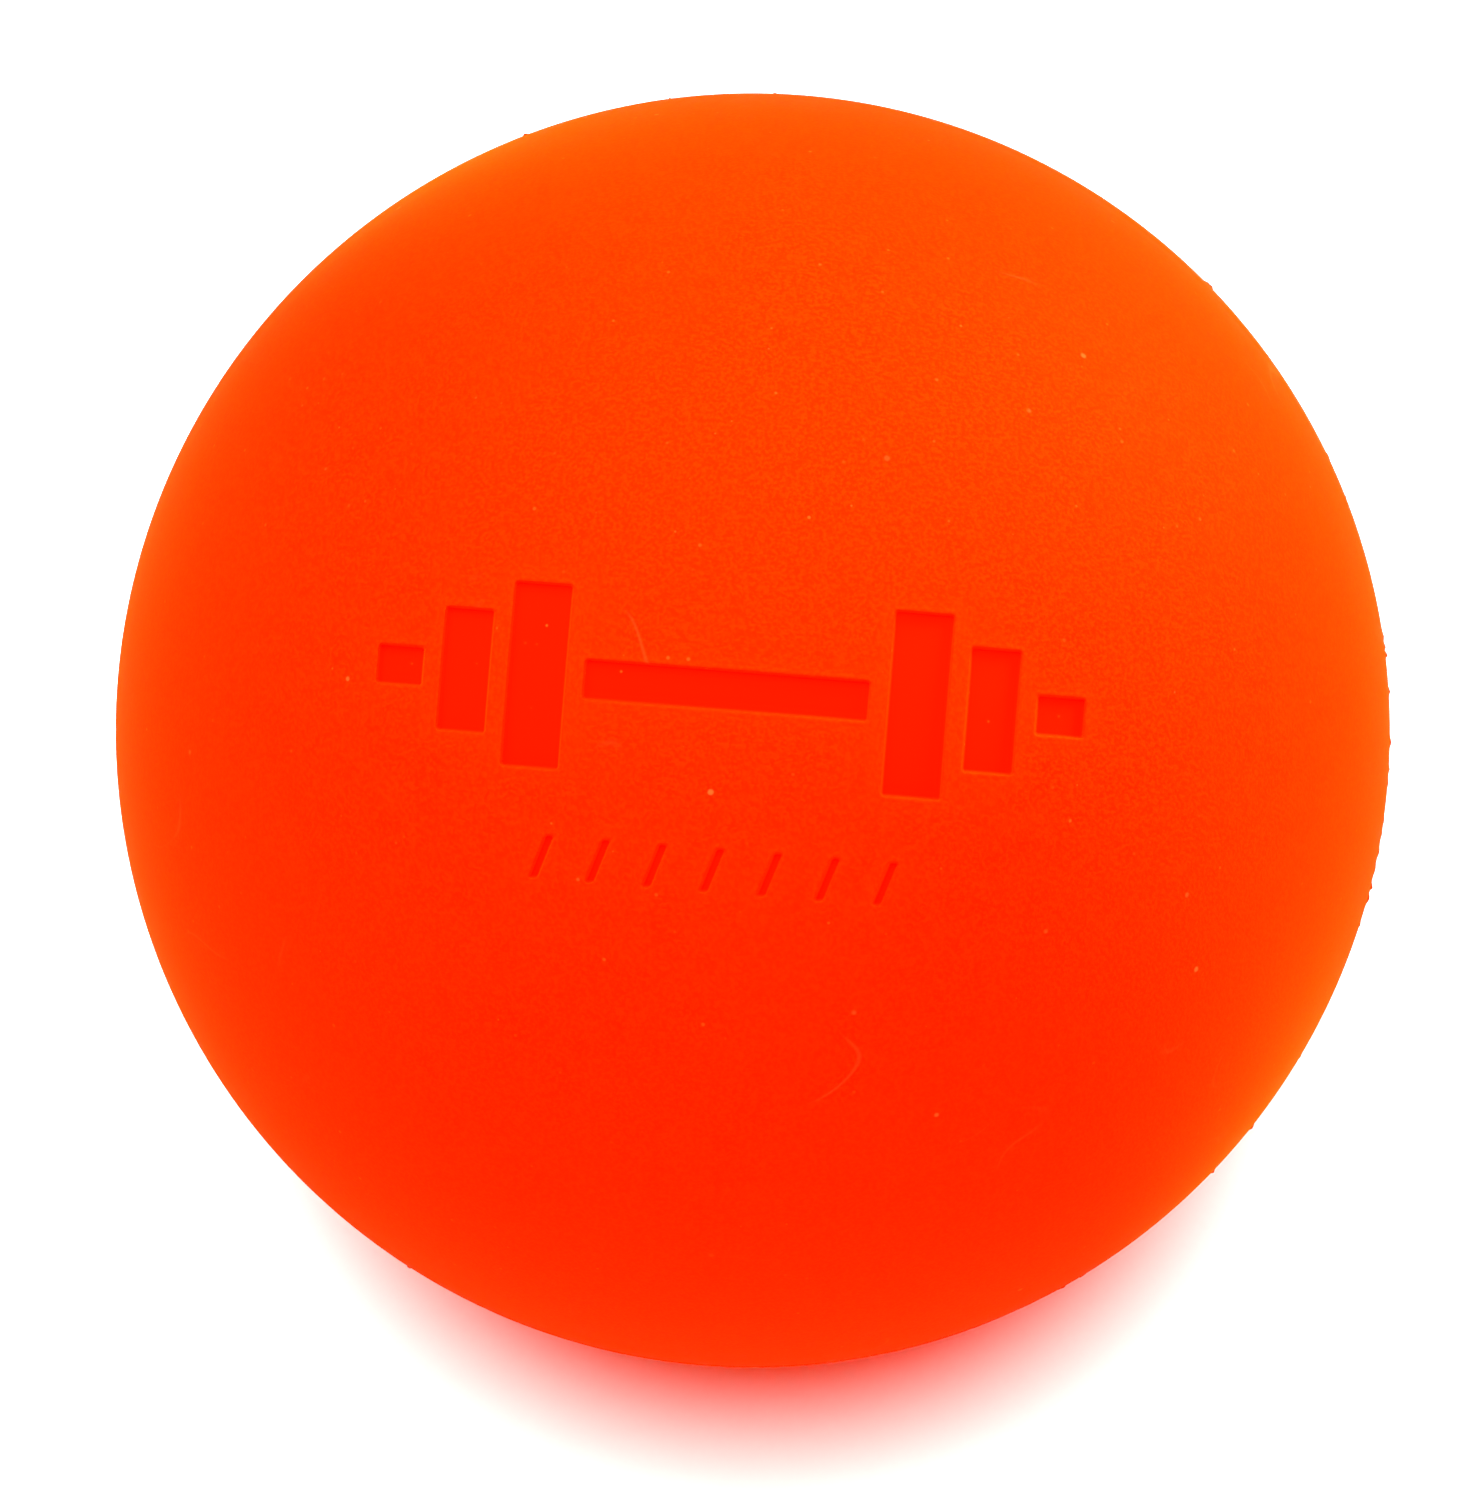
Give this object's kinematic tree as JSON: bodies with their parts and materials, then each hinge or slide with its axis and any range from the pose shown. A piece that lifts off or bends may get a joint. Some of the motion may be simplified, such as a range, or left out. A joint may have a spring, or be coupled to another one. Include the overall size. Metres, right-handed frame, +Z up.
{
  "type": "massage ball",
  "caption": "Smooth solid rubber massage ball with a shallow debossed dumbbell mark, made as a dense core inside a cover of two moulded halves.",
  "frame": {"origin": "centre of the ball", "axes": "+Z up as the ball lies on a floor, -Y towards the viewer; the mould axis through the mark leans 30 degrees from +Z towards -Y"},
  "size_m": [0.0634, 0.0634, 0.0634],
  "materials": {
    "cover_rubber": "matt moulded rubber, fine grain",
    "core_rubber": "dull buffed rubber"
  },
  "bodies": {
    "root": {"core": "core_rubber", "marked_cover_half": "cover_rubber", "plain_cover_half": "cover_rubber"}
  },
  "joints": []
}
